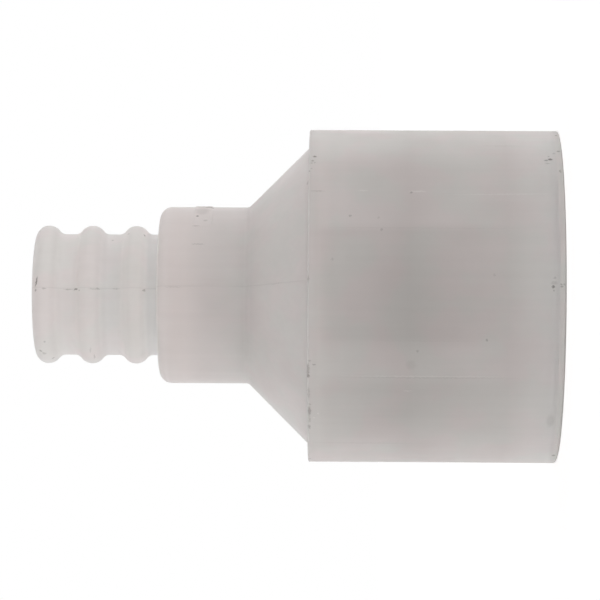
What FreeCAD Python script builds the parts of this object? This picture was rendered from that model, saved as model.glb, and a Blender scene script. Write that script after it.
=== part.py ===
import FreeCAD, Part
import math
import os
from FreeCAD import Vector

# Coolant hose adapter: one moulding that joins a wide plain socket, pushed over a pipe,
# to a narrow ringed spigot that a hose is pushed onto.
# It stands on its mouth: the origin is the centre of the mouth, +Z runs up to the spigot's tip,
# and -Y is the side that faces the viewer. All sizes are in millimetres and degrees.

# Socket: a plain cup that takes the end of a 1-1/2 inch pipe
socket_bore_diameter = 48.4
socket_wall = 3.0
socket_depth = 37.4
pipe_stop_width = 2.0
shoulder_wall = 3.0
rim_radius = 0.6
lead_in = 0.8

# Shoulder and cone: a flat step, then a straight taper down to the hub
shoulder_width = 2.9
cone_angle = 45.0

# Hub: the plain collar that the pushed-on hose stops against
hub_diameter = 28.9
hub_length = 14.55
hub_wall = 3.0
hub_end_wall = 3.0
hub_edge_radius = 1.9
inner_taper_angle = 45.0

# Spigot: the tube that fits inside the hose
spigot_diameter = 19.8
spigot_length = 20.3
spigot_wall = 2.9
tip_edge = 0.4

# Rings round the spigot that grip the hose. The first is also the spigot's round nose.
ring_height = 1.4
ring_crest_radius = 2.2
ring_root_fillet = 1.4
ring_pitch = 7.2
first_ring_from_tip = 1.95

# Pad: a low raised patch on the hub, where a moulder's mark would stand
pad_length = 3.2
pad_height = 0.15
pad_from_cone_top = 5.8
pad_start_angle = -39.0
pad_end_angle = 14.0

# Small roundings of the moulding's inner and outer corners
corner_radius = 0.3
core_corner_radius = 0.5
core_bend_radius = 2.0

# No rounding takes more than this share of the shorter run beside it, or of the wall it is on
run_share = 0.45
wall_share = 0.4

# What the cutting core stands out past each end
core_overrun = 1.0

# Radii
socket_bore_radius = socket_bore_diameter / 2
socket_radius = socket_bore_radius + socket_wall
cone_foot_radius = socket_radius - shoulder_width
pipe_stop_radius = socket_bore_radius - pipe_stop_width
hub_radius = hub_diameter / 2
hub_bore_radius = hub_radius - hub_wall
spigot_radius = spigot_diameter / 2
spigot_bore_radius = spigot_radius - spigot_wall
crest_reach = spigot_radius + ring_height

# Heights above the mouth
cone_slope = math.tan(math.radians(cone_angle))
shoulder_height = socket_depth + shoulder_wall
cone_top = shoulder_height + (cone_foot_radius - hub_radius) / cone_slope
hub_face = cone_top + hub_length
tip = hub_face + spigot_length
first_crest = tip - first_ring_from_tip
inner_cone_top = socket_depth + (pipe_stop_radius - hub_bore_radius) / cone_slope
inner_taper_top = hub_face - hub_end_wall
inner_taper_length = (hub_bore_radius - spigot_bore_radius) / math.tan(math.radians(inner_taper_angle))
inner_taper_start = inner_taper_top - inner_taper_length

# Edge sizes that the wall they are on allows
rim_edge = min(rim_radius, wall_share * socket_wall)
mouth_edge = min(lead_in, wall_share * socket_wall)
bore_edge = min(tip_edge, wall_share * spigot_wall)

origin = Vector(0, 0, 0)
up = Vector(0, 0, 1)
outward = Vector(1, 0, 0)


def line(start, end):
    """Return a straight edge."""
    return Part.LineSegment(start, end).toShape()


def turned(edges):
    """Turn a closed outline about the axis into a solid."""
    return Part.Face(Part.Wire(edges)).revolve(origin, up, 360)


def rounded_corner(before, corner, after, radius):
    """Return where an arc that rounds a corner starts, its middle and where it ends."""
    to_before = before - corner
    to_after = after - corner
    half_angle = to_before.getAngle(to_after) / 2
    longest = run_share * min(to_before.Length, to_after.Length)
    setback = min(radius / math.tan(half_angle), longest)
    to_before.normalize()
    to_after.normalize()
    inward = (to_before + to_after).normalize()
    centre_distance = setback / math.cos(half_angle)
    arc_radius = setback * math.tan(half_angle)
    start = corner + to_before * setback
    middle = corner + inward * (centre_distance - arc_radius)
    end = corner + to_after * setback
    return start, middle, end


def revolved(corners):
    """Turn a half section, given as corners of radius, height and rounding, into a solid."""
    points = [Vector(radius, 0, height) for radius, height, rounding in corners]
    count = len(points)
    spans = []
    for i, (radius, height, rounding) in enumerate(corners):
        if rounding > 0:
            spans.append(rounded_corner(points[i - 1], points[i], points[(i + 1) % count], rounding))
        else:
            spans.append((points[i], None, points[i]))
    edges = []
    for i, (start, middle, end) in enumerate(spans):
        if middle is not None:
            edges.append(Part.Arc(start, middle, end).toShape())
        next_start = spans[(i + 1) % count][0]
        edges.append(line(end, next_start))
    return turned(edges)


def outer_form():
    """The outside of the moulding without rings and nose: socket, shoulder, cone, hub and spigot."""
    return revolved([
        (0, 0, 0),
        (socket_radius, 0, rim_edge),
        (socket_radius, shoulder_height, corner_radius),
        (cone_foot_radius, shoulder_height, corner_radius),
        (hub_radius, cone_top, corner_radius),
        (hub_radius, hub_face, hub_edge_radius),
        (spigot_radius, hub_face, corner_radius),
        (spigot_radius, first_crest, 0),
        (0, first_crest, 0),
    ])


def inner_form():
    """The hollow: lead-in, pipe socket, pipe stop, cone, hub bore, taper and spigot bore."""
    return revolved([
        (0, -core_overrun, 0),
        (socket_bore_radius + mouth_edge + core_overrun, -core_overrun, 0),
        (socket_bore_radius, mouth_edge, 0),
        (socket_bore_radius, socket_depth, core_corner_radius),
        (pipe_stop_radius, socket_depth, core_corner_radius),
        (hub_bore_radius, inner_cone_top, core_bend_radius),
        (hub_bore_radius, inner_taper_start, core_bend_radius),
        (spigot_bore_radius, inner_taper_top, core_bend_radius),
        (spigot_bore_radius, tip - bore_edge, 0),
        (spigot_bore_radius + bore_edge + core_overrun, tip + core_overrun, 0),
        (0, tip + core_overrun, 0),
    ])


def ring_half_width():
    """Half the length of spigot that one ring covers, from its middle to the end of its fillet."""
    rise = ring_root_fillet - ring_height + ring_crest_radius
    return math.sqrt((ring_crest_radius + ring_root_fillet) ** 2 - rise ** 2)


def ring_flank(height, side):
    """Half of a ring's outline, from its foot below (-1) or above (1) to its crest, and that foot."""
    foot = Vector(spigot_radius, 0, height + side * ring_half_width())
    crest = Vector(crest_reach, 0, height)
    fillet_centre = foot + outward * ring_root_fillet
    crest_centre = crest - outward * ring_crest_radius
    to_crest = (crest_centre - fillet_centre).normalize()
    hollow = fillet_centre + (to_crest - outward).normalize() * ring_root_fillet
    touch = fillet_centre + to_crest * ring_root_fillet
    brow = crest_centre + (outward - to_crest).normalize() * ring_crest_radius
    return foot, [Part.Arc(foot, hollow, touch).toShape(), Part.Arc(touch, brow, crest).toShape()]


def ring(height):
    """One gripping ring: a round crest that runs down to the tube through two hollow fillets."""
    low_foot, low_flank = ring_flank(height, -1)
    high_foot, high_flank = ring_flank(height, 1)
    buried = spigot_radius - spigot_wall / 2
    inner_low = Vector(buried, 0, low_foot.z)
    inner_high = Vector(buried, 0, high_foot.z)
    inner_edges = [line(high_foot, inner_high), line(inner_high, inner_low), line(inner_low, low_foot)]
    return turned(low_flank + high_flank[::-1] + inner_edges)


def rings():
    """As many rings as the spigot has room for between the nose and the hub."""
    room = first_crest - ring_half_width() - hub_face
    count = int(room / ring_pitch)
    return [ring(first_crest - (i + 1) * ring_pitch) for i in range(count)]


def nose():
    """The spigot's end: the lower half of a ring, then a round nose from its crest to the tip."""
    foot, flank = ring_flank(first_crest, -1)
    crest = Vector(crest_reach, 0, first_crest)
    round_centre = crest - outward * first_ring_from_tip
    round_end = round_centre + up * first_ring_from_tip
    round_middle = round_centre + (outward + up).normalize() * first_ring_from_tip
    rounded_end = Part.Arc(crest, round_middle, round_end).toShape()
    top = Vector(0, 0, tip)
    bottom = Vector(0, 0, foot.z)
    return turned(flank + [rounded_end, line(round_end, top), line(top, bottom), line(bottom, foot)])


def pad():
    """The raised patch: a slice of a slightly wider hub, over part of the way round."""
    base = Vector(0, 0, cone_top + pad_from_cone_top)
    sweep = pad_end_angle - pad_start_angle
    slice_of_hub = Part.makeCylinder(hub_radius + pad_height, pad_length, base, up, sweep)
    slice_of_hub.rotate(origin, up, pad_start_angle)
    middle_of_wall = Part.makeCylinder(hub_radius - hub_wall / 2, pad_length, base)
    return slice_of_hub.cut(middle_of_wall)


def adapter_body():
    """The whole moulding."""
    solid = outer_form().fuse(rings() + [nose(), pad()])
    return solid.cut(inner_form()).removeSplitter().Solids[0]


os.makedirs("parts", exist_ok=True)
body = adapter_body()
body.exportStep("parts/adapter_body.step")
print("overall length", round(tip, 2), "socket outside", round(2 * socket_radius, 2))
print("volume in cubic centimetres", round(body.Volume / 1000, 2))
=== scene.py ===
# %% [markdown]
# # A coolant hose adapter in milky plastic
# The adapter is one moulding: a wide plain socket, a flat shoulder, a cone, a short collar called the hub,
# and a slim spigot with rounded rings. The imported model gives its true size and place. This script dresses
# it: the same form with the fine edges of a real moulding, the milky plastic, the marks of handling, a pale
# floor, soft light, and a camera that stands where the photograph was taken.

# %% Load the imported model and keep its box
import bpy
import bmesh
import math
from mathutils import Matrix, Vector, noise
from mathutils.bvhtree import BVHTree


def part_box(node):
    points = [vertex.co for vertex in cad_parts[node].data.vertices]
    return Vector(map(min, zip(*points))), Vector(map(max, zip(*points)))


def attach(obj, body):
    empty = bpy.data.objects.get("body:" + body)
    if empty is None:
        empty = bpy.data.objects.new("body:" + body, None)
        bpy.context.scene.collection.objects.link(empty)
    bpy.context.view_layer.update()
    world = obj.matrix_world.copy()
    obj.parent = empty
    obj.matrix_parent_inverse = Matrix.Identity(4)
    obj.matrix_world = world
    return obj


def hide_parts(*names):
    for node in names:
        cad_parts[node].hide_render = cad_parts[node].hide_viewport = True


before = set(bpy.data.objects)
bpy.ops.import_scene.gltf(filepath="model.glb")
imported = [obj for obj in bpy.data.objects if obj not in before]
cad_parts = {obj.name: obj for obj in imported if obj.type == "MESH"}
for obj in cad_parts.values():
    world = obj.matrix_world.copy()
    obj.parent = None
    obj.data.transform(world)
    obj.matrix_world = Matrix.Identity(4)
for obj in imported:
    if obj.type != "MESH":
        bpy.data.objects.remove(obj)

scene = bpy.context.scene
scene.view_settings.view_transform = "Standard"
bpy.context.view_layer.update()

# %% [markdown]
# ## Sizes
# How tall the adapter stands on its mouth, and how wide its socket is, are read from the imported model. The
# other sizes are the real ones of the moulding. Blender works in metres, so a length is written in
# millimetres and multiplied by MM.

# %% Name the sizes of the moulding
MM = 0.001
highest_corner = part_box("adapter_body")[1]
tip = highest_corner.z
socket_radius = highest_corner.x
socket_wall = 3.0 * MM
socket_depth = 37.4 * MM
shoulder = 40.4 * MM
cone_foot = socket_radius - 2.9 * MM
pipe_stop = 2.0 * MM
hub_radius = 14.45 * MM
hub_length = 14.55 * MM
hub_edge = 1.9 * MM
hub_wall = 3.0 * MM
spigot_radius = 9.9 * MM
spigot_bore = 7.0 * MM
socket_bore = socket_radius - socket_wall
hub_bore = hub_radius - hub_wall
cone_top = shoulder + cone_foot - hub_radius
hub_face = cone_top + hub_length
print("tip at", round(tip / MM, 2), "mm, hub face at", round(hub_face / MM, 2), "mm")

# %% [markdown]
# ## The camera comes first
# The photograph looks at the side of the adapter, with the spigot to the left and the mouth to the right.
# The adapter stands on its mouth here, so the camera is turned a quarter about its own line of sight: up
# along the adapter runs to the left in the picture. How far away it stands shows in the photograph. Both
# flat ends look bowed, and the place where the bow would vanish is level with the lens. The image is taken
# as 600 pixels square. One pixel is a little over 0.16 mm at the adapter's axis.

# %% Make a camera from what the photograph shows
picture_side = 600
pixel = 0.1642 * MM
tip_pixel = 37
lens_pixel = 349
axis_pixel = 295.7
focal_pixels = 3200
camera_distance = focal_pixels * pixel
roll = math.radians(-0.32)

aim_height = tip - (picture_side / 2 - tip_pixel) * pixel
lens_height = tip - (lens_pixel - tip_pixel) * pixel
sideways = (axis_pixel - picture_side / 2) * pixel
camera_place = Vector((sideways, -camera_distance, lens_height))
forward = (Vector((sideways, 0, aim_height)) - camera_place).normalized()
across = Vector((0, 0, -1))
right = (across - forward * forward.dot(across)).normalized()
right.rotate(Matrix.Rotation(roll, 3, forward))
upward = right.cross(forward)

camera_data = bpy.data.cameras.new("camera")
camera_data.sensor_width = 36
camera_data.lens = camera_data.sensor_width * focal_pixels / picture_side
camera = bpy.data.objects.new("camera", camera_data)
turn_of_camera = Matrix((right, upward, -forward)).transposed().to_4x4()
camera.matrix_world = Matrix.Translation(camera_place) @ turn_of_camera
scene.collection.objects.link(camera)
scene.camera = camera
print("camera", round(camera_distance, 3), "m away, lens", round(camera_data.lens, 1), "mm")

# %% [markdown]
# ## The wall of the moulding as one outline
# A turned form is easiest to draw as the outline of its wall on one side of the axis, which is then spun.
# The outline is a closed list of corners, each with a radius, a height and the rounding that the mould gives
# it. A pen draws it: a straight stroke extrudes the last point, and a rounding spins that point about the
# centre of the arc. A bevel on the corner would be shorter, but its arcs are only true at right angles, and
# these corners have many other angles.

# %% Draw strokes and arcs with a pen
arc_step = math.radians(9)
shortest_stroke = 0.01 * MM


def stroke(drawing, point, end, longest):
    """Extrude a point to the end of a straight run, in steps no longer than longest."""
    count = max(1, math.ceil((end - point.co).length / longest))
    step = (end - point.co) / count
    for i in range(count):
        point = bmesh.ops.extrude_vert_indiv(drawing, verts=[point])["verts"][0]
        bmesh.ops.translate(drawing, verts=[point], vec=step)
    return point


def arc(drawing, point, centre, end):
    """Spin a point about a centre until it reaches the end of the arc."""
    start_arm = point.co - centre
    end_arm = end - centre
    turn = start_arm.angle(end_arm)
    axis = start_arm.cross(end_arm).normalized()
    steps = max(3, math.ceil(turn / arc_step))
    made = bmesh.ops.spin(drawing, geom=[point], cent=centre, axis=axis, angle=turn, steps=steps)
    return [part for part in made["geom_last"] if isinstance(part, bmesh.types.BMVert)][0]


def rounding(before, corner, after, radius):
    """Where the arc that rounds a corner starts, its centre and where it ends."""
    back = (before - corner).normalized()
    on = (after - corner).normalized()
    half = back.angle(on) / 2
    setback = radius / math.tan(half)
    centre = corner + (back + on).normalized() * (radius / math.sin(half))
    return corner + back * setback, centre, corner + on * setback


def draw_outline(corners, longest):
    """A closed outline with rounded corners, as a bmesh of points and edges."""
    drawing = bmesh.new()
    points = [Vector((radius, 0, height)) for radius, height, size in corners]
    arcs = []
    for i, (radius, height, size) in enumerate(corners):
        after = points[(i + 1) % len(points)]
        arcs.append(rounding(points[i - 1], points[i], after, size))
    pen = drawing.verts.new(arcs[0][0])
    for start, centre, end in arcs:
        if (start - pen.co).length > shortest_stroke:
            pen = stroke(drawing, pen, start, longest)
        pen = arc(drawing, pen, centre, end)
    stroke(drawing, pen, arcs[0][0], longest)
    bmesh.ops.remove_doubles(drawing, verts=drawing.verts, dist=shortest_stroke)
    return drawing


# %% [markdown]
# A ring is a round crest that runs into the tube through two hollow fillets. With its roundings taken away
# it is a sharp ridge. The slopes of that ridge touch both the crest's circle and the fillet's, so the two
# radii and the height of the ring give the slope, and the slope gives the peak and the feet of the ridge.
# The first ring is half a ring: past its crest it rounds over to the tip as the spigot's nose.

# %% Work out the corners of the gripping rings
ring_height = 1.4 * MM
crest_radius = 2.2 * MM
root_fillet = 1.4 * MM
ring_pitch = 7.2 * MM
first_ring = 1.95 * MM
crest_reach = spigot_radius + ring_height
crest_centre = crest_reach - crest_radius
slope = math.acos((spigot_radius + root_fillet - crest_centre) / (crest_radius + root_fillet))
peak_radius = crest_centre + crest_radius / math.cos(slope)
ridge_reach = (peak_radius - spigot_radius) / math.tan(slope)


def ridge(height):
    """The three corners of a ring: its lower foot, its peak and its upper foot."""
    return [
        (spigot_radius, height - ridge_reach, root_fillet),
        (peak_radius, height, crest_radius),
        (spigot_radius, height + ridge_reach, root_fillet),
    ]


first_crest = tip - first_ring
brow = first_crest - (peak_radius - crest_reach) / math.tan(slope)
nose = [
    (spigot_radius, first_crest - ridge_reach, root_fillet),
    (crest_reach, brow, crest_radius),
    (crest_reach, tip, first_ring),
]
rings = ridge(first_crest - 2 * ring_pitch) + ridge(first_crest - ring_pitch) + nose
print("ring slope", round(math.degrees(slope), 1), "degrees, sharp peak at", round(peak_radius / MM, 2), "mm")

# %% [markdown]
# The outside of the wall runs up from the mouth, over the shoulder, the cone, the hub and the rings to the
# tip. The inside runs down again through the spigot's bore, a taper, the hub's bore, the inner cone and the
# ledge that stops the pipe. Spun right round the axis, the closed outline becomes a closed shell. The last
# copy of a full spin lies on the first, so they are merged, and the faces are then turned to point outwards.
# The mould opens along a plane through the axis, and a fine raised line shows where its halves met. The
# outline is turned to that plane before the spin, so that a column of points runs along the line.

# %% Draw the outline and spin it
crisp = 0.25 * MM
soft = 0.5 * MM
crease = 1.0 * MM
bend = 2.0 * MM
rim_rounding = 0.6 * MM
mouth_bevel = 0.8 * MM
inner_taper = hub_bore - spigot_bore
inner_cone = socket_bore - pipe_stop - hub_bore
segments = 240
longest_run = 1.5 * MM
parting_turn = math.radians(5.7 - 90)

outside = [
    (socket_radius, 0, rim_rounding),
    (socket_radius, shoulder, crisp),
    (cone_foot, shoulder, crisp),
    (hub_radius, cone_top, crease),
    (hub_radius, hub_face, hub_edge),
    (spigot_radius, hub_face, crisp),
]
inside = [
    (spigot_bore + 0.4 * MM, tip, crisp / 2),
    (spigot_bore, tip - 0.4 * MM, crisp / 2),
    (spigot_bore, hub_face - hub_wall, bend),
    (hub_bore, hub_face - hub_wall - inner_taper, bend),
    (hub_bore, socket_depth + inner_cone, bend),
    (socket_bore - pipe_stop, socket_depth, soft),
    (socket_bore, socket_depth, soft),
    (socket_bore, mouth_bevel, crisp),
    (socket_bore + mouth_bevel, 0, crisp),
]
body = draw_outline(outside + rings + inside, longest_run)
print("points in the outline:", len(body.verts))
to_parting_plane = Matrix.Rotation(parting_turn, 3, "Z")
bmesh.ops.rotate(body, verts=body.verts, cent=(0, 0, 0), matrix=to_parting_plane)
bmesh.ops.spin(body, geom=body.verts[:] + body.edges[:], cent=(0, 0, 0), axis=(0, 0, 1),
               angle=math.tau, steps=segments, use_merge=True)
bmesh.ops.remove_doubles(body, verts=body.verts, dist=0.001 * MM)
bmesh.ops.recalc_face_normals(body, faces=body.faces)
print("faces after the spin:", len(body.faces))


# %% [markdown]
# ## The parting line
# The line is a ridge a few hundredths of a millimetre high, on two sides of everything above the shoulder.
# Two cuts beside the column of points keep it narrow, and the points between the cuts are then drawn out,
# a little unevenly, because a mould wears unevenly. Only faces of the outside are cut.

# %% Cut the outside and raise the parting line
def outer_faces(lowest, highest):
    """The faces of the outside between two heights."""
    chosen = []
    for face in body.faces:
        centre = face.calc_center_median()
        outward = Vector((centre.x, centre.y, 0)).normalized()
        if lowest < centre.z < highest and face.normal.dot(outward) > 0.1:
            chosen.append(face)
    return chosen


def cut(faces, place, normal):
    """Cut faces along a plane."""
    edges = {edge for face in faces for edge in face.edges}
    points = {point for face in faces for point in face.verts}
    bmesh.ops.bisect_plane(body, geom=[*points, *edges, *faces], plane_co=place, plane_no=normal)
    body.normal_update()


line_half_width = 0.14 * MM
line_height = 0.06 * MM
on_plane = 0.005 * MM
line_normal = to_parting_plane @ Vector((0, 1, 0))
for side in (-1, 1):
    cut(outer_faces(shoulder, tip), line_normal * line_half_width * side, line_normal)
line_points = {point for face in outer_faces(shoulder + crisp, tip - crisp) for point in face.verts
               if abs(point.co.dot(line_normal)) < on_plane}
for point in line_points:
    outward = Vector((point.co.x, point.co.y, 0)).normalized()
    wear = 0.7 + 0.5 * noise.noise(point.co / (2 * MM))
    point.co += outward * line_height * wear
print("points raised along the parting line:", len(line_points))

# %% [markdown]
# ## The pad on the hub
# A low plain patch stands a little proud of the hub. It could be an inset of the faces inside its border, but
# an inset folds over any row of points that happens to run close to the border. So eight cuts draw the border
# and the inner edge of the slope beside it, and each point is then raised by how far it lies inside the
# border. The pad starts and ends at an angle round the axis, counted from +X, which is up in the photograph.

# %% Raise the pad
pad_height = 0.15 * MM
pad_slope = 0.3 * MM
pad_length = 3.2 * MM
pad_low = cone_top + 5.8 * MM
pad_high = pad_low + pad_length
pad_start = math.radians(-39)
pad_end = math.radians(14)
slope_turn = pad_slope / hub_radius
pad_margin = 3 * MM


def hub_faces():
    """The faces of the hub round the pad, on the half of the hub that has it."""
    near = outer_faces(pad_low - pad_margin, pad_high + pad_margin)
    return [face for face in near if face.calc_center_median().x > 0]


for height in (pad_low, pad_low + pad_slope, pad_high - pad_slope, pad_high):
    cut(hub_faces(), Vector((0, 0, height)), Vector((0, 0, 1)))
for side in (pad_start, pad_start + slope_turn, pad_end - slope_turn, pad_end):
    cut(hub_faces(), Vector((0, 0, 0)), Vector((-math.sin(side), math.cos(side), 0)))
raised = 0
for point in {point for face in hub_faces() for point in face.verts}:
    angle = math.atan2(point.co.y, point.co.x)
    across_pad = min(angle - pad_start, pad_end - angle) * hub_radius
    along_pad = min(point.co.z - pad_low, pad_high - point.co.z)
    share = min(1, across_pad / pad_slope, along_pad / pad_slope)
    if share > 0:
        point.co += Vector((math.cos(angle), math.sin(angle), 0)) * pad_height * share
        raised += 1
print("points raised on the pad:", raised)

# %% [markdown]
# ## The worn rim
# The rim's outer edge is not the same all round: it is tight on one side and worn rounder on the other. The
# rounding is re-drawn where it is: each of its points keeps its angle round the arc's centre, while the
# arc's radius grows towards the worn side.

# %% Round the rim unevenly
least_rounding = 0.2 * MM
most_rounding = 0.52 * MM
wear_height = 0.04 * MM
wear_length = 4 * MM
worn_side = Vector((-1, -0.15, 0)).normalized()
arc_centre = Vector((socket_radius - rim_rounding, rim_rounding))
moved = 0
for point in body.verts:
    from_axis = Vector((point.co.x, point.co.y, 0))
    arm = Vector((from_axis.length, point.co.z)) - arc_centre
    if arm.x < -on_plane or arm.y > on_plane or abs(arm.length - rim_rounding) > on_plane:
        continue
    share = 0.5 + 0.5 * from_axis.normalized().dot(worn_side)
    radius = least_rounding + (most_rounding - least_rounding) * share
    radius += wear_height * noise.noise(point.co / wear_length)
    fresh = Vector((socket_radius - radius, radius)) + arm.normalized() * radius
    point.co = from_axis.normalized() * fresh.x + Vector((0, 0, fresh.y))
    moved += 1
print("points of the rim moved:", moved)

# %% [markdown]
# ## From bmesh to object
# The surface is smooth, and only creases sharper than 40 degrees stay sharp. Small roundings beside long
# flat faces would pull the shading of the flat faces askew, so a modifier weighs each normal by the size of
# its faces. A tree of the faces is kept, to find where a line of sight meets the surface.

# %% Make the moulding an object
sharpest_smooth = math.radians(40)
surface = BVHTree.FromBMesh(body)
adapter_mesh = bpy.data.meshes.new("adapter_moulding")
body.to_mesh(adapter_mesh)
body.free()
adapter_mesh.shade_smooth()
adapter_mesh.set_sharp_from_angle(angle=sharpest_smooth)
adapter = bpy.data.objects.new("adapter_moulding", adapter_mesh)
scene.collection.objects.link(adapter)
even_shading = adapter.modifiers.new("even_shading", "WEIGHTED_NORMAL")
even_shading.keep_sharp = True
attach(adapter, "root")
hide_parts("adapter_body")
print("the moulding has", len(adapter_mesh.polygons), "faces")

# %% [markdown]
# ## Milky plastic
# Natural polyethylene scatters light under its skin, so it looks milky, its edges glow and its forms look
# soft. A see-through shader over a scattering volume would do that too, but it renders slowly and noisily, so
# the Principled shader's subsurface does it here. The light may wander 12 mm, four times the wall.

# %% Start the plastic
wander = 12 * MM
plastic = bpy.data.materials.new("milky_plastic")
plastic.use_nodes = True
nodes = plastic.node_tree.nodes
links = plastic.node_tree.links
skin = nodes["Principled BSDF"]
skin.inputs["Specular IOR Level"].default_value = 0.28
skin.inputs["Subsurface Radius"].default_value = (1.0, 1.0, 1.0)
skin.inputs["Subsurface Scale"].default_value = wander
print("light wanders", round(wander / MM), "mm in a wall of", round(socket_wall / MM), "mm")


# %% [markdown]
# The plastic's colour and marks need many small nodes of a few kinds. One short helper for each kind keeps
# the steps below readable: a sum, a soft change from one value to another, a mix of colours, a colour made
# stronger or weaker, and a noise. Each helper takes plain values or the outputs of other nodes.

# %% Write small helpers for the plastic's nodes
def feed(socket, value):
    """Link an output to an input, or write a plain value into it."""
    if isinstance(value, bpy.types.NodeSocket):
        links.new(value, socket)
    else:
        socket.default_value = value


def sums(operation, *values):
    """A Math node on one, two or three values."""
    made = nodes.new("ShaderNodeMath")
    made.operation = operation
    for socket, value in zip(made.inputs, values):
        feed(socket, value)
    return made.outputs["Value"]


def remap(value, start, end, to_start=0.0, to_end=1.0):
    """A smooth change from one value to another, flat outside its range."""
    made = nodes.new("ShaderNodeMapRange")
    made.interpolation_type = "SMOOTHSTEP"
    for name, entry in zip(("Value", "From Min", "From Max", "To Min", "To Max"),
                           (value, start, end, to_start, to_end)):
        feed(made.inputs[name], entry)
    return made.outputs["Result"]


def blend(share, under, over, way="MIX"):
    """Mix two colours."""
    made = nodes.new("ShaderNodeMix")
    made.data_type = "RGBA"
    made.blend_type = way
    colour_inputs = [socket for socket in made.inputs if socket.type == "RGBA"]
    feed(made.inputs["Factor"], share)
    feed(colour_inputs[0], under)
    feed(colour_inputs[1], over)
    return [socket for socket in made.outputs if socket.type == "RGBA"][0]


def scaled(colour, factor):
    """A colour made paler or darker by a factor."""
    made = nodes.new("ShaderNodeVectorMath")
    made.operation = "SCALE"
    feed(made.inputs[0], colour)
    feed(made.inputs["Scale"], factor)
    return made.outputs["Vector"]


def mottle(place, size, detail=2.0, roughness=0.5):
    """A noise whose patches are about as wide as size."""
    made = nodes.new("ShaderNodeTexNoise")
    feed(made.inputs["Vector"], place)
    made.inputs["Scale"].default_value = 1 / size
    made.inputs["Detail"].default_value = detail
    made.inputs["Roughness"].default_value = roughness
    return made


# %% Read the place on the adapter
coordinates = nodes.new("ShaderNodeTexCoord")
place = coordinates.outputs["Object"]
split = nodes.new("ShaderNodeSeparateXYZ")
feed(split.inputs["Vector"], place)
place_x = split.outputs["X"]
place_y = split.outputs["Y"]
place_z = split.outputs["Z"]
reach = sums("SQRT", sums("ADD", sums("MULTIPLY", place_x, place_x), sums("MULTIPLY", place_y, place_y)))
turn = sums("ARCTAN2", place_x, sums("MULTIPLY", place_y, -1.0))
print("nodes that read the place:", len(nodes))


# %% [markdown]
# The colour is a warm grey, paler on the spigot. It changes mostly with the height, and much of that change
# is painted light and shade. Painted shade darkens the socket's middle, the shoulder's edge, the hub's edge,
# the cone round the crease and the rings' crests. Painted light pales the rim, where the floor's shadow
# falls, the crease line itself, the spigot's foot by the hub and the valleys between the rings. The tip is
# darker too. One long formula could give that, but a ramp shows it better: each tone stands at a place that
# has a name. The rim stands on the floor, and light that entered there would be lost in the shadow under it.
# So the rim's skin is nearly plain instead of milky, and its edge has a cooler colour of its own.

# %% Lay the tones, with painted light and shade, along the height
def warm(tone):
    """A warm grey of a given strength."""
    return (tone, tone * 0.93, tone * 0.90, 1)


rim_colour = (0.615, 0.594, 0.574, 1)
# Beside the plastic's tone, these stops hold painted shade at the socket's middle, the shoulder's and hub's
# edges, round the crease and on the ring crests, and painted light at the rim, the crease line, the spigot's
# foot and the ring valleys.
tones = {
    "rim's edge": (0.5 * MM, 0.62),
    "rim": (1.1 * MM, 0.765),
    "outside of the rim": (1.65 * MM, 0.785),
    "above the rim": (2.4 * MM, 0.742),
    "low socket": (9 * MM, 0.605),
    "socket's dark middle": (24.5 * MM, 0.508),
    "high socket": (35 * MM, 0.585),
    "below the shoulder": (38.6 * MM, 0.568),
    "under the shoulder's edge": (shoulder - 0.3 * MM, 0.505),
    "shoulder's edge": (shoulder - 0.02 * MM, 0.40),
    "cone's foot": (shoulder, 0.745),
    "low cone": (shoulder + 1.3 * MM, 0.74),
    "high cone": (cone_top - 1.8 * MM, 0.66),
    "below the crease": (cone_top - 0.6 * MM, 0.67),
    "crease": (cone_top, 0.725),
    "hub's foot": (cone_top + 0.6 * MM, 0.68),
    "hub's middle": (cone_top + 10 * MM, 0.69),
    "hub's edge": (hub_face - 0.1 * MM, 0.61),
    "spigot's foot": (hub_face, 0.85),
    "above the foot": (hub_face + 1.8 * MM, 0.855),
    "third ring's foot": (hub_face + 3.0 * MM, 0.785),
    "third ring's low side": (first_crest - 2 * ring_pitch - 0.4 * MM, 0.728),
    "third ring": (first_crest - 2 * ring_pitch + 0.7 * MM, 0.667),
    "third ring's high side": (first_crest - 2 * ring_pitch + 1.7 * MM, 0.70),
    "second valley": (first_crest - 1.4 * ring_pitch, 0.757),
    "second ring's foot": (first_crest - ring_pitch - 0.7 * MM, 0.752),
    "second ring's low side": (first_crest - ring_pitch + 0.5 * MM, 0.677),
    "second ring": (first_crest - ring_pitch + 1.4 * MM, 0.658),
    "second ring's high side": (first_crest - ring_pitch + 2.4 * MM, 0.686),
    "first valley": (first_crest - 0.4 * ring_pitch, 0.70),
    "nose": (first_crest - 0.8 * MM, 0.725),
    "tip": (tip - 0.3 * MM, 0.585),
}
height_share = sums("DIVIDE", place_z, tip)
ramp_node = nodes.new("ShaderNodeValToRGB")
feed(ramp_node.inputs["Fac"], height_share)
ramp = ramp_node.color_ramp.elements
while len(ramp) < len(tones):
    ramp.new(0.5)
for element, (height, tone) in zip(ramp, tones.values()):
    element.position = height / tip
    element.color = warm(tone)
ramp[0].color = rim_colour
tone_and_painted_light = ramp_node.outputs["Color"]
print("tones along the height:", len(ramp))

# %% Make the rim's skin less milky
plain_below = 0.3 * MM
milky_above = 1.5 * MM
rim_milkiness = 0.1
feed(skin.inputs["Subsurface Weight"], remap(place_z, plain_below, milky_above, rim_milkiness, 1.0))
print("the skin is fully milky above", round(milky_above / MM, 1), "mm")

# %% [markdown]
# The wall of the spigot is thinnest between the rings, and there the spigot is painted paler: painted light
# that evens out the shade falling into the grooves between the rings. How far a point lies from the axis
# tells how thick the wall is there, so one soft change from the tube's radius to the crest's radius is the
# mask. The hub and the socket lie further out and keep their colour.

# %% Paint light into the grooves between the rings
groove_light_gain = 0.16
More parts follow.
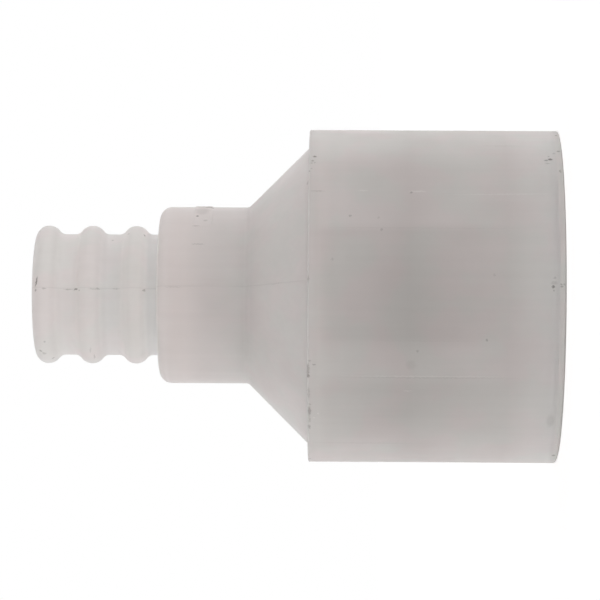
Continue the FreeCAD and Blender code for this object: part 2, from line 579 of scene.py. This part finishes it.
# Painted light in the grooves between the rings.
groove_light = remap(reach, spigot_radius, spigot_radius + ring_height, 1.0, 0.0)
groove_lit_colour = scaled(tone_and_painted_light, sums("ADD", 1.0, sums("MULTIPLY", groove_light, groove_light_gain)))
print("the thinnest wall is", round(100 * groove_light_gain), "percent paler")


# %% [markdown]
# The socket has two paler bands along it, with a darker one between them that faces the camera. The paler
# bands are painted reflections of broad soft lights. Where the sides turn away, painted shade makes the
# socket a little darker and painted light makes the hub a little paler. One photograph can't tell whether the
# wall's thickness or a reflection makes them, so they are put in the colour. A band is a mask between two
# angles round the axis, the product of one soft step up and one soft step down.

# %% Paint two reflections along the socket, as paler bands
def band(inner_start, inner_end, outer_start, outer_end):
    """A mask between two angles round the axis, counted from the front, with soft sides."""
    angles = [math.radians(angle) for angle in (inner_start, inner_end, outer_start, outer_end)]
    inner = remap(turn, angles[0], angles[1])
    outer = remap(turn, angles[2], angles[3], 1.0, 0.0)
    return sums("MULTIPLY", inner, outer)


sharp_reflection_gain = 0.10
soft_reflection_gain = 0.045
lower_reflection_gain = 0.09
# The bands are painted reflections.
sharp_reflection = sums("MULTIPLY", band(21, 25.5, 34, 54), sharp_reflection_gain)
soft_reflection = sums("MULTIPLY", band(6, 18, 24, 44), soft_reflection_gain)
lower_reflection = sums("MULTIPLY", band(-33, -26, -18, -13), lower_reflection_gain)
fade_in = remap(place_z, 4 * MM, 17 * MM)
fade_out = remap(place_z, 37 * MM, 40 * MM, 1.0, 0.2)
on_socket = sums("MULTIPLY", fade_in, fade_out)
painted_reflections = sums("MULTIPLY", sums("ADD", sums("ADD", sharp_reflection, soft_reflection), lower_reflection), on_socket)
below_shoulder = remap(place_z, shoulder - crisp, shoulder, 1.0, 0.0)
colour_with_reflections = scaled(groove_lit_colour, sums("ADD", 1.0, sums("MULTIPLY", painted_reflections, below_shoulder)))

# %% Paint shade on the socket's sides and light on the hub's sides, where they turn away
low_socket_shade = -0.06
high_socket_shade = -0.04
hub_light_gain = 0.05
soft_end = 1 * MM
# Painted shade on the socket's sides, painted light on the hub's sides.
sides = sums("ADD", band(68, 82, 96, 112), band(-112, -96, -82, -68))
along_socket = remap(place_z, 10 * MM, 24 * MM, low_socket_shade, high_socket_shade)
painted_socket_shade = sums("MULTIPLY", along_socket, below_shoulder)
above_crease = remap(place_z, cone_top, cone_top + soft_end)
below_face = remap(place_z, hub_face - soft_end, hub_face, 1.0, 0.0)
painted_hub_light = sums("MULTIPLY", sums("MULTIPLY", above_crease, below_face), hub_light_gain)
painted_side_light_and_shade = sums("ADD", painted_socket_shade, painted_hub_light)
colour_with_side_light = scaled(colour_with_reflections, sums("ADD", 1.0, sums("MULTIPLY", sides, painted_side_light_and_shade)))

# %% [markdown]
# Soft patches, a few millimetres wide, lean towards pink or towards green, as in any natural resin. The hub
# is mostly pink. Faint streaks run along the adapter, because the plastic flowed that way as it filled the
# mould: they are a noise whose coordinates are pressed together along the axis. All of this is only a percent
# or two, so it is multiplied with the colour.

# %% Add soft patches of hue
pink = (1.018, 0.986, 0.992, 1)
green = (0.986, 1.004, 0.996, 1)
patch_width = 7 * MM
patches = mottle(place, patch_width, detail=3.0)
pink_above = remap(place_z, cone_top, hub_face - 8 * MM, 1.0, 0.15)
on_spigot = remap(place_z, hub_face - soft_end, hub_face)
green_share = sums("MAXIMUM", pink_above, on_spigot)
hue = sums("MULTIPLY", remap(patches.outputs["Fac"], 0.38, 0.62), green_share)
tinted = blend(1.0, colour_with_side_light, blend(hue, pink, green), "MULTIPLY")

# %% Add streaks and clouds
streak_width = 1.2 * MM
streak_strength = 0.009
cloud_width = 11 * MM
cloud_strength = 0.02
stretch = nodes.new("ShaderNodeMapping")
feed(stretch.inputs["Vector"], place)
stretch.inputs["Scale"].default_value = (1, 1, 0.03)
streaks = mottle(stretch.outputs["Vector"], streak_width, detail=3.0, roughness=0.6)
streak = remap(streaks.outputs["Fac"], 0.3, 0.7, 1 - streak_strength, 1 + streak_strength)
clouds = mottle(place, cloud_width)
cloud = remap(clouds.outputs["Fac"], 0.3, 0.7, 1 - cloud_strength, 1 + cloud_strength)
clean_colour = scaled(tinted, sums("MULTIPLY", streak, cloud))
print("nodes of the clean plastic:", len(nodes))

# %% [markdown]
# ## Marks of use
# The adapter has been handled: dark specks and dashes along the parting line, dirt in the corner of the
# shoulder and at the rim, and a few pale scratches. A few of the dark marks are painted shade: soft shade by
# the crease and on the cone, shade on the pad, and the shadow beside the long scratch. They could be painted
# on an image, but an image would have to be wrapped round the adapter, so each mark is a small ellipsoid
# round a point
# of the surface instead: inside it the mask is on. The place of each is given as a pixel of the photograph,
# and a line of sight through that pixel finds the point on the surface. Measuring the ellipsoid in wobbled
# coordinates gives each mark a ragged edge.

# %% Wobble the coordinates
wobble_width = 0.35 * MM
wobble_reach = 0.5 * MM
wobble = mottle(place, wobble_width, detail=2.0, roughness=0.6)
wobble_centred = nodes.new("ShaderNodeVectorMath")
wobble_centred.operation = "SUBTRACT"
feed(wobble_centred.inputs[0], wobble.outputs["Color"])
feed(wobble_centred.inputs[1], (0.5, 0.5, 0.5))
wobble_added = nodes.new("ShaderNodeVectorMath")
wobble_added.operation = "MULTIPLY_ADD"
feed(wobble_added.inputs[0], wobble_centred.outputs["Vector"])
feed(wobble_added.inputs[1], (wobble_reach, wobble_reach, wobble_reach))
feed(wobble_added.inputs[2], place)
ragged_place = wobble_added.outputs["Vector"]


# %% Find a point of the surface behind a pixel
def seen_point(x, y):
    """The point of the surface that the camera sees at a pixel."""
    sight = forward * focal_pixels + right * (x - picture_side / 2) + upward * (picture_side / 2 - y)
    return surface.ray_cast(camera_place, sight.normalized())[0]


middle = seen_point(picture_side / 2, picture_side / 2)
print("behind the middle pixel:", [round(v / MM, 1) for v in middle], "mm")

# %% [markdown]
# A mark on a side that turns away looks narrow in the photograph, so its real width is the width seen there
# over the cosine of the angle between its side and the camera. A mark is full inside half of its size and
# gone a little outside of it, which keeps its edge soft.

# %% Make a mask from a list of marks
mark_depth = 1.0 * MM
least_facing = 0.25
full_within = 0.5
gone_beyond = 1.3


def mark_mask(marks):
    """The strongest of many marks: each is x, y, length, width, slant in degrees and strength."""
    mask = None
    for x, y, length, width, slant, strength in marks.values():
        point = seen_point(x, y)
        side = math.atan2(point.x, -point.y)
        widened = width / max(math.cos(side), least_facing)
        local = nodes.new("ShaderNodeMapping")
        local.vector_type = "TEXTURE"
        feed(local.inputs["Vector"], ragged_place)
        local.inputs["Location"].default_value = point
        local.inputs["Rotation"].default_value = (0, math.radians(slant), side)
        local.inputs["Scale"].default_value = (widened * pixel / 2, mark_depth, length * pixel / 2)
        distance = nodes.new("ShaderNodeVectorMath")
        distance.operation = "LENGTH"
        feed(distance.inputs[0], local.outputs["Vector"])
        one = remap(distance.outputs["Value"], full_within, gone_beyond, strength, 0.0)
        mask = one if mask is None else sums("MAXIMUM", mask, one)
    return mask


# %% Make a mask from a list of round specks
def speck_mask(specks):
    """The strongest of many round specks: each is x, y, width and strength."""
    mask = None
    for x, y, width, strength in specks.values():
        distance = nodes.new("ShaderNodeVectorMath")
        distance.operation = "DISTANCE"
        feed(distance.inputs[0], ragged_place)
        feed(distance.inputs[1], seen_point(x, y))
        radius = width * pixel / 2
        one = remap(distance.outputs["Value"], full_within * radius, gone_beyond * radius, strength, 0.0)
        mask = one if mask is None else sums("MAXIMUM", mask, one)
    return mask


# %% [markdown]
# Lengths run along the adapter and widths round it, both in pixels of the photograph. A long mark takes more
# of the renderer's memory for a material than a round one, so only what is clearly longer one way is a mark.

# %% List the dark marks of the spigot and the hub
spigot_marks = {
    "scratch at the tip": (36.3, 281.5, 1.7, 11, 8, 0.7),
    "first dash": (44, 288.6, 4.5, 1.6, 0, 0.3),
    "second dash": (68.3, 289.6, 9, 1.4, 0, 0.3),
    "dark dash": (75.8, 289.3, 4.4, 1.9, 0, 0.6),
    "long dash": (96, 288.8, 17, 1.3, 0, 0.25),
    "spot on the long dash": (98, 288.6, 3.4, 2.0, 0, 0.35),
    "fourth dash": (116, 288.7, 9, 1.3, 0, 0.2),
    "last dash": (144, 290.4, 3.6, 2.0, 0, 0.38),
    "dash low on the tip": (44.4, 353.5, 4.5, 2.2, 0, 0.3),
    "hair on the second ring": (90.4, 350.0, 1.5, 7, 4, 0.2),
    "fold on the second ring": (94.5, 356.5, 1.6, 5, 0, 0.28),
}
spigot_specks = {
    "blob at the tip": (35.6, 290, 2.8, 0.5),
    "speck after the dark dash": (79, 290.2, 2.0, 0.35),
    "speck by the third ring": (144.6, 235.3, 2.6, 0.55),
    "speck in the third valley": (112.6, 240.4, 2.5, 0.3),
    "speck on the third ring": (128.6, 234.0, 2.3, 0.3),
    "speck at the hub face": (157.0, 236.0, 2.4, 0.3),
    "speck low on the tip": (44.8, 341.6, 2.6, 0.3),
    "dark speck low on the tip": (40.8, 351.0, 3.4, 0.5),
    "speck on the first ring": (53.4, 358.0, 3.2, 0.45),
}
hub_marks = {
    "line on the hub": (172, 287, 17, 1.2, 0, 0.16),
    "line on the cone": (276, 283.5, 62, 1.2, -4, 0.12),
    "pad's far edge": (204, 207.2, 18, 1.4, 0, 0.32),
    "dark part of the pad's edge": (209, 207.5, 9, 1.5, 0, 0.5),
    # The shade on the pad is painted shade.
    "shade on the pad": (202, 210.5, 15, 8, 0, 0.17),
    "dash under the pad": (205.5, 220.4, 4.5, 1.4, 0, 0.2),
    "tick under the pad": (195.5, 225.8, 9, 1.3, 0, 0.18),
    "lower tick": (198, 244, 13, 1.3, 0, 0.2),
}
hub_specks = {
    "pad's corner": (212, 207.8, 3.0, 0.75),
    "speck on the pad": (197.6, 216, 2.8, 0.65),
    # The two soft shades are painted shade, not dirt.
    "soft shade by the crease": (217, 292, 44, 0.04),
    "soft shade on the cone": (296, 374, 44, 0.04),
}

# %% List the dark marks of the shoulder and the rim
edge_marks = {
    "tick on the shoulder": (314.6, 156.6, 4.2, 2.0, 0, 0.65),
    "faint mark on the shoulder": (308.2, 182.5, 2.6, 4.6, 0, 0.24),
    "shoulder at the parting line": (308.2, 279, 1.8, 8, 0, 0.3),
    "dash beside the lower dirt": (314, 364.6, 4.0, 1.4, 0, 0.36),
    "lower dirt": (308, 367.8, 3.0, 9, 0, 0.45),
    "middle of the lower dirt": (307.8, 372, 2.8, 6, 0, 0.5),
    "dark end of the lower dirt": (308.2, 375.4, 3.0, 4.4, 0, 0.65),
    "faint line on the shoulder": (308.6, 393, 2.2, 12, 0, 0.24),
    "dark dash on the shoulder": (309.4, 411, 2.8, 10, 0, 0.5),
    "brown dash below it": (309.6, 419, 2.8, 7, 0, 0.3),
    "last mark on the shoulder": (309.4, 426.8, 2.6, 4.4, 0, 0.42),
    "dash on the rim": (558.5, 151.4, 3.4, 1.6, 0, 0.45),
    "dark dirt at the rim": (550.2, 159.3, 4.6, 2.0, 0, 0.75),
    "dirt beside it": (546.2, 160.5, 4.4, 1.8, 0, 0.5),
    "dash below it": (547.5, 163.3, 5, 1.5, 0, 0.24),
    "mark on the rim's edge": (560.4, 171.2, 2.0, 3.2, 0, 0.36),
    "faint dash at the rim": (554.8, 278, 3.4, 1.8, 0, 0.22),
    "olive smudge": (554.5, 283, 6.5, 3.6, 0, 0.16),
    "dash on the rim's edge": (561.4, 284.5, 3.2, 1.5, 0, 0.42),
    "second dash on the rim's edge": (562, 286.4, 3.2, 1.5, 0, 0.42),
    "spot on the rim's corner": (564.6, 284.6, 1.8, 2.6, 0, 0.36),
    "round grey spot": (550.4, 421, 8, 12, 0, 0.13),
}
edge_specks = {
    "dirt below the tick": (312.8, 160.7, 2.8, 0.45),
    "its left arm": (311.6, 163, 2.4, 0.32),
    "its right arm": (314.6, 162.6, 2.2, 0.32),
    "small speck on the shoulder": (311.5, 168.6, 2.0, 0.32),
    "speck on the shoulder": (309.6, 171.3, 2.4, 0.42),
    "start of the lower dirt": (309.4, 360.7, 2.6, 0.3),
    "speck below the faint line": (309.8, 404, 2.6, 0.3),
    "speck in the lower corner": (309.8, 458.6, 2.8, 0.5),
    "dirt in the rim's upper corner": (556.0, 135.6, 3.0, 0.55),
    "pale brown speck": (554, 153.4, 2.8, 0.2),
    "speck above the dark dirt": (548.6, 156.5, 2.2, 0.32),
    "brown spot at the rim": (553.3, 286.9, 2.8, 0.65),
    "small brown spot": (554, 290.5, 2.2, 0.34),
    "dirt in the rim's lower corner": (553.6, 455.4, 4.5, 0.45),
}

# %% List the dark marks of the socket
socket_marks = {
    "dash by the shoulder": (317.5, 191, 15, 1.4, 0, 0.16),
    # The shadow of the long scratch is a painted shadow.
    "shadow of the long scratch": (428, 377.9, 156, 1.2, 0, 0.09),
    "upper line": (502, 146, 38, 1.2, 0, 0.08),
    "line above the middle": (421, 228, 184, 1.1, 0, 0.05),
    "line below the middle": (425, 341, 112, 1.1, 0, 0.05),
    "lower line": (361, 443, 104, 1.2, 0, 0.07),
}
socket_specks = {
    "faint speck by the shoulder": (332, 259, 2.6, 0.18),
    "dark speck by the shoulder": (350, 215.6, 2.8, 0.3),
    "faint speck above the middle": (378.6, 217.6, 2.6, 0.16),
    "speck above the middle": (381.4, 229.4, 2.6, 0.22),
    "speck on the upper scratch": (411.5, 192.6, 3.0, 0.36),
    "faint speck towards the rim": (494.5, 275, 2.8, 0.16),
    "dark speck towards the rim": (487, 340, 2.8, 0.36),
    "speck below the middle": (417.4, 351, 2.6, 0.25),
    "faint patch": (411, 365, 10, 0.08),
}

# %% Put the dark marks, dirt and painted shade, together
dark_marks = {**spigot_marks, **hub_marks, **edge_marks, **socket_marks}
dark_specks = {**spigot_specks, **hub_specks, **edge_specks, **socket_specks}
near_dirt_and_shade = sums("MAXIMUM", mark_mask(dark_marks), speck_mask(dark_specks))
print("dark marks:", len(dark_marks), "long and", len(dark_specks), "round")

# %% [markdown]
# Scratches and flecks are pale, because a cut surface scatters more light than a smooth skin. They have a
# mask of their own, since dirt and scratches change the colour in opposite directions.

# %% List the pale scratches and flecks
scratches = {
    "long scratch": (427, 376.4, 160, 1.3, 0, 0.22),
    "upper scratch, first part": (363.5, 190.4, 10, 1.4, 0, 0.26),
    "upper scratch, second part": (417.5, 191.4, 16, 1.4, 0, 0.32),
    "upper scratch, third part": (509, 194.2, 110, 1.3, -1, 0.26),
    "short scratch": (408, 391, 9, 1.3, 0, 0.2),
    "scratch on the pad": (205.7, 218.4, 6, 1.3, 0, 0.25),
}
flecks = {
    "fleck on the shoulder": (318, 413.5, 2.2, 0.3),
    "second fleck on the shoulder": (314, 417.7, 2.0, 0.3),
    "third fleck on the shoulder": (309.8, 417.5, 2.1, 0.3),
    "fleck by the lower corner": (555.6, 444.6, 2.6, 0.4),
}
near_scratches = sums("MAXIMUM", mark_mask(scratches), speck_mask(flecks))
print("pale marks:", len(scratches), "long and", len(flecks), "round")

# %% [markdown]
# The far side can't be seen in the photograph, and a handled part is not clean there either. Marks placed
# one by one would be slow work where nothing tells their place, so here noise does it. Dirt gathers in the
# same kinds of places: at the shoulder's corner, at the rim, at the tip and along the parting line, with a
# few specks between. Noise cuts it into patches, and it fades out towards the near side.

# %% Tell the far side and the gritty patches
grit_width = 2.2 * MM
fade_half = 6 * MM
far_side = remap(place_y, -fade_half, fade_half)
grit = mottle(ragged_place, grit_width, detail=4.0, roughness=0.7)
gritty = remap(grit.outputs["Fac"], 0.56, 0.68)

# %% Gather dirt at the edges
edge_dirt_strength = 0.55
shoulder_dirt_width = 0.8 * MM
rim_dirt_width = 2.4 * MM
tip_dirt_width = 1.0 * MM


def near_edge(radius, height, width):
    """A mask round a circular edge of the adapter."""
    aside = sums("SUBTRACT", reach, radius)
    above = sums("SUBTRACT", place_z, height)
    distance = sums("SQRT", sums("ADD", sums("MULTIPLY", aside, aside), sums("MULTIPLY", above, above)))
    return remap(distance, 0.2 * width, width, 1.0, 0.0)


shoulder_edge = near_edge(socket_radius, shoulder, shoulder_dirt_width)
rim_edge = near_edge(socket_radius, 0, rim_dirt_width)
tip_edge = near_edge(spigot_radius, tip, tip_dirt_width)
edges = sums("MAXIMUM", sums("MAXIMUM", shoulder_edge, rim_edge), tip_edge)
edge_dirt = sums("MULTIPLY", sums("MULTIPLY", edges, gritty), edge_dirt_strength)

# %% Gather dirt along the parting line
line_dirt_strength = 0.4
line_shade_strength = 0.07
plane_distance = nodes.new("ShaderNodeVectorMath")
plane_distance.operation = "DOT_PRODUCT"
feed(plane_distance.inputs[0], place)
feed(plane_distance.inputs[1], line_normal)
from_line = sums("ABSOLUTE", plane_distance.outputs["Value"])
above_shoulder = remap(place_z, shoulder, shoulder + 0.5 * MM)
line = sums("MULTIPLY", remap(from_line, 0.03 * MM, 0.16 * MM, 1.0, 0.0), above_shoulder)
line_dirt = sums("MULTIPLY", sums("MULTIPLY", line, gritty), line_dirt_strength)
# An even painted shade also runs along the whole parting line, on every side.
line_shade = sums("MULTIPLY", line, line_shade_strength)

# %% [markdown]
# The few specks between come from a Voronoi texture. It cuts space into cells, each round a point of its own
# and with a random colour. A mask close to the point makes one speck in each cell, and only the few cells
# whose red is high keep theirs.

# %% Scatter a few specks and put all the dirt and painted shade together
cell_width = 1.8 * MM
speck_strength = 0.4
cells = nodes.new("ShaderNodeTexVoronoi")
feed(cells.inputs["Vector"], ragged_place)
cells.inputs["Scale"].default_value = 1 / cell_width
in_speck = remap(cells.outputs["Distance"], 0.05, 0.12, 1.0, 0.0)
cell_colour = nodes.new("ShaderNodeSeparateColor")
feed(cell_colour.inputs["Color"], cells.outputs["Color"])
in_chosen_cell = remap(cell_colour.outputs["Red"], 0.90, 0.95)
specks = sums("MULTIPLY", sums("MULTIPLY", in_speck, in_chosen_cell), speck_strength)
strewn = sums("MAXIMUM", edge_dirt, sums("MAXIMUM", line_dirt, specks))
far_dirt = sums("MULTIPLY", strewn, far_side)
dirt_and_shade = sums("MAXIMUM", sums("MAXIMUM", near_dirt_and_shade, far_dirt), line_shade)

# %% [markdown]
# Dirt and painted shade darken the plastic towards a brownish grey and a scratch turns it paler, where the
# cut surface scatters the light. Both are rougher than the skin. The bump holds what is too fine to model: a
# grain that comes from the mould's surface, the streaks, and the scratches as shallow grooves.

# %% Colour the plastic
dirt_and_shade_colour = (0.11, 0.095, 0.08, 1)
scratch_colour = (0.80, 0.77, 0.74, 1)
scratched = blend(near_scratches, clean_colour, scratch_colour)
feed(skin.inputs["Base Color"], blend(dirt_and_shade, scratched, dirt_and_shade_colour))

# %% Make marks rougher than the skin
least_rough = 0.48
most_rough = 0.60
rougher_marks = 0.3
sheen_width = 5 * MM
marked = sums("MAXIMUM", dirt_and_shade, near_scratches)
sheen = mottle(place, sheen_width, detail=3.0)
roughness = remap(sheen.outputs["Fac"], 0.3, 0.7, least_rough, most_rough)
feed(skin.inputs["Roughness"], sums("ADD", roughness, sums("MULTIPLY", marked, rougher_marks)))

# %% Add the finest relief as bump
grain_width = 0.25 * MM
relief_height = 0.02 * MM
grain_share = 0.5
streak_share = 0.35
groove_share = 2.0
grain = mottle(place, grain_width, detail=2.0, roughness=0.6)
grain_relief = sums("MULTIPLY", grain.outputs["Fac"], grain_share)
streak_relief = sums("MULTIPLY", streaks.outputs["Fac"], streak_share)
grooves = sums("MULTIPLY", near_scratches, groove_share)
bump = nodes.new("ShaderNodeBump")
bump.inputs["Strength"].default_value = 0.6
bump.inputs["Distance"].default_value = relief_height
feed(bump.inputs["Height"], sums("SUBTRACT", sums("ADD", grain_relief, streak_relief), grooves))
feed(skin.inputs["Normal"], bump.outputs["Normal"])
adapter_mesh.materials.append(plastic)
print("nodes in the plastic:", len(nodes))

# %% [markdown]
# ## Floor and world
# The photograph's ground is plain white. More light would make the floor white, but it would wash out the
# adapter too. So the floor glows a little for the camera alone, and still receives the adapter's shadow. A
# Light Path node tells which rays come from the camera. Reflections and refractions count as seen too.

# %% Tell what is seen from what gives light
def seen_share(tree):
    """One for a ray that shows something, and nothing for a ray that gathers light."""
    rays = tree.nodes.new("ShaderNodeLightPath")
    share = rays.outputs["Is Camera Ray"]
    for name in ("Is Glossy Ray", "Is Transmission Ray"):
        either = tree.nodes.new("ShaderNodeMath")
        either.operation = "MAXIMUM"
        tree.links.new(share, either.inputs[0])
        tree.links.new(rays.outputs[name], either.inputs[1])
        share = either.outputs["Value"]
    return share


# %% Lay the floor
floor_half = 3.0
floor_glow = 0.46
floor_colour = (0.9, 0.9, 0.9, 1)
white = (1, 1, 1, 1)
floor_shape = bmesh.new()
bmesh.ops.create_grid(floor_shape, x_segments=1, y_segments=1, size=floor_half)
floor_mesh = bpy.data.meshes.new("floor")
floor_shape.to_mesh(floor_mesh)
floor_shape.free()
floor = bpy.data.objects.new("floor", floor_mesh)
scene.collection.objects.link(floor)
print("the floor is", 2 * floor_half, "m wide")

# %% Make the floor's surface
paper = bpy.data.materials.new("white_floor")
paper.use_nodes = True
paper_nodes = paper.node_tree.nodes
paper_skin = paper_nodes["Principled BSDF"]
paper_skin.inputs["Base Color"].default_value = floor_colour
paper_skin.inputs["Roughness"].default_value = 0.9
paper_skin.inputs["Specular IOR Level"].default_value = 0
paper_skin.inputs["Emission Color"].default_value = white
glow = paper_nodes.new("ShaderNodeMath")
glow.operation = "MULTIPLY"
glow.inputs[1].default_value = floor_glow
paper.node_tree.links.new(seen_share(paper.node_tree), glow.inputs[0])
paper.node_tree.links.new(glow.outputs["Value"], paper_skin.inputs["Emission Strength"])
floor_mesh.materials.append(paper)

# %% [markdown]
# The world is white where it is seen. As a light it is a soft sky, dimmer overhead than at the sides, because
# light from above would enter the shoulder and the hub's end face and make their edges glow. A sky lamp of
# one strength could not do that, so the strength follows the height of the direction.

# %% Set the world
horizon_light = 1.65
overhead_light = 0.15
world = bpy.data.worlds.new("studio")
scene.world = world
world.use_nodes = True
world_nodes = world.node_tree.nodes
world_links = world.node_tree.links
surround = world_nodes["Background"]
surround.inputs["Color"].default_value = white
direction = world_nodes.new("ShaderNodeTexCoord")
direction_split = world_nodes.new("ShaderNodeSeparateXYZ")
world_links.new(direction.outputs["Generated"], direction_split.inputs["Vector"])
sky = world_nodes.new("ShaderNodeMapRange")
sky.inputs["To Min"].default_value = horizon_light
sky.inputs["To Max"].default_value = overhead_light
world_links.new(direction_split.outputs["Z"], sky.inputs["Value"])
brightness = world_nodes.new("ShaderNodeMapRange")
brightness.inputs["To Max"].default_value = 1.0
world_links.new(sky.outputs["Result"], brightness.inputs["To Min"])
world_links.new(seen_share(world.node_tree), brightness.inputs["Value"])
world_links.new(brightness.outputs["Result"], surround.inputs["Strength"])
print("sky from", horizon_light, "at the horizon to", overhead_light, "overhead")


# %% [markdown]
# ## Lamps
# Two weak soft boxes stand beside the socket, a little behind it. Their light enters its sides and makes
# them paler, as in the photograph. Larger lamps further away would light the cone and the hub too, so these
# are small, with a narrow spread. The camera doesn't see them.

# %% Hang the lamps
lamp_size = 0.03
lamp_spread = math.radians(24)
lamp_target = Vector((0, 0, 0.025))


def soft_lamp(name, place, power):
    """A small square soft box at a place, turned to the middle of the socket."""
    lamp_data = bpy.data.lights.new(name, "AREA")
    lamp_data.shape = "SQUARE"
    lamp_data.size = lamp_size
    lamp_data.energy = power
    lamp_data.spread = lamp_spread
    lamp = bpy.data.objects.new(name, lamp_data)
    lamp.location = place
    lamp.rotation_euler = (lamp_target - place).to_track_quat("-Z", "Y").to_euler()
    lamp.visible_camera = False
    scene.collection.objects.link(lamp)
    print(name, "at", [round(v, 3) for v in place], "with", power, "W")


soft_lamp("lamp_left", Vector((-0.15, 0.06, 0.025)), 0.0012)
soft_lamp("lamp_right", Vector((0.15, 0.06, 0.025)), 0.0017)
